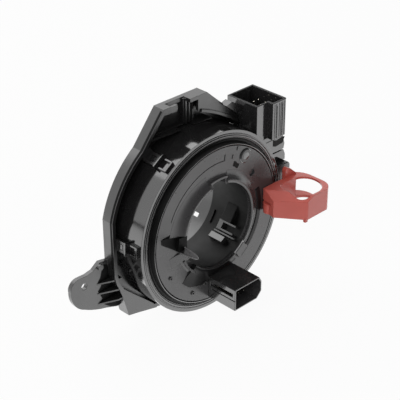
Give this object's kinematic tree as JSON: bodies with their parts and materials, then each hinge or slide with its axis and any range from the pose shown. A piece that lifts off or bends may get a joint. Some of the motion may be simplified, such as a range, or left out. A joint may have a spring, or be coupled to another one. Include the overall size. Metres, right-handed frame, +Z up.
{
  "type": "steering clock spring",
  "caption": "Steering clock spring: a drum with a turning rotor, a rear mounting frame, two plug sockets and a red transport lock.",
  "frame": {"origin": "on the bore axis, in the plane of the rear sleeve's rear edge", "axes": "+Y along the bore axis away from the driver, +Z up, +X to the object's right as it is seen from the driver's seat"},
  "size_m": [0.1455, 0.0614, 0.1193],
  "materials": {
    "drum_black": "satin moulded",
    "cover_black": "satin moulded",
    "frame_black": "fine grained",
    "connector_black": "satin moulded",
    "rotor_black": "satin moulded",
    "sleeve_grey": "satin moulded",
    "carrier_black": "satin moulded",
    "cable_film": "polished film",
    "slide_film": "smooth film",
    "pin_metal": "tinned",
    "lock_red": "satin moulded"
  },
  "bodies": {
    "stator": {"drum_housing": "drum_black", "front_cover": "cover_black", "rear_frame": "frame_black", "stator_connector": "connector_black", "stator_pin_1": "pin_metal", "stator_pin_2": "pin_metal", "stator_pin_3": "pin_metal", "stator_pin_4": "pin_metal", "stator_pin_5": "pin_metal", "stator_pin_6": "pin_metal", "stator_pin_7": "pin_metal", "stator_pin_8": "pin_metal", "outer_cable_carrier": "carrier_black", "flat_cable": "cable_film", "rear_slide_film": "slide_film"},
    "rotor": {"rotor_disc": "rotor_black", "rotor_connector": "connector_black", "rotor_pin_1": "pin_metal", "rotor_pin_2": "pin_metal", "rotor_pin_3": "pin_metal", "rotor_pin_4": "pin_metal", "rotor_pin_5": "pin_metal", "rotor_pin_6": "pin_metal", "inner_cable_carrier": "carrier_black", "front_slide_film": "slide_film", "rear_sleeve": "sleeve_grey"},
    "transport_lock": {"lock": "lock_red"}
  },
  "joints": [
    {"name": "rotor_turn", "type": "hinge", "parent": "stator", "child": "rotor", "pos_m": [0, 0, 0], "axis": [0, 1, 0], "range_deg": [-900, 900]},
    {"name": "lock_pull", "type": "slide", "parent": "rotor", "child": "transport_lock", "axis": [0, -1, 0], "range_m": [0, 0.014]}
  ]
}
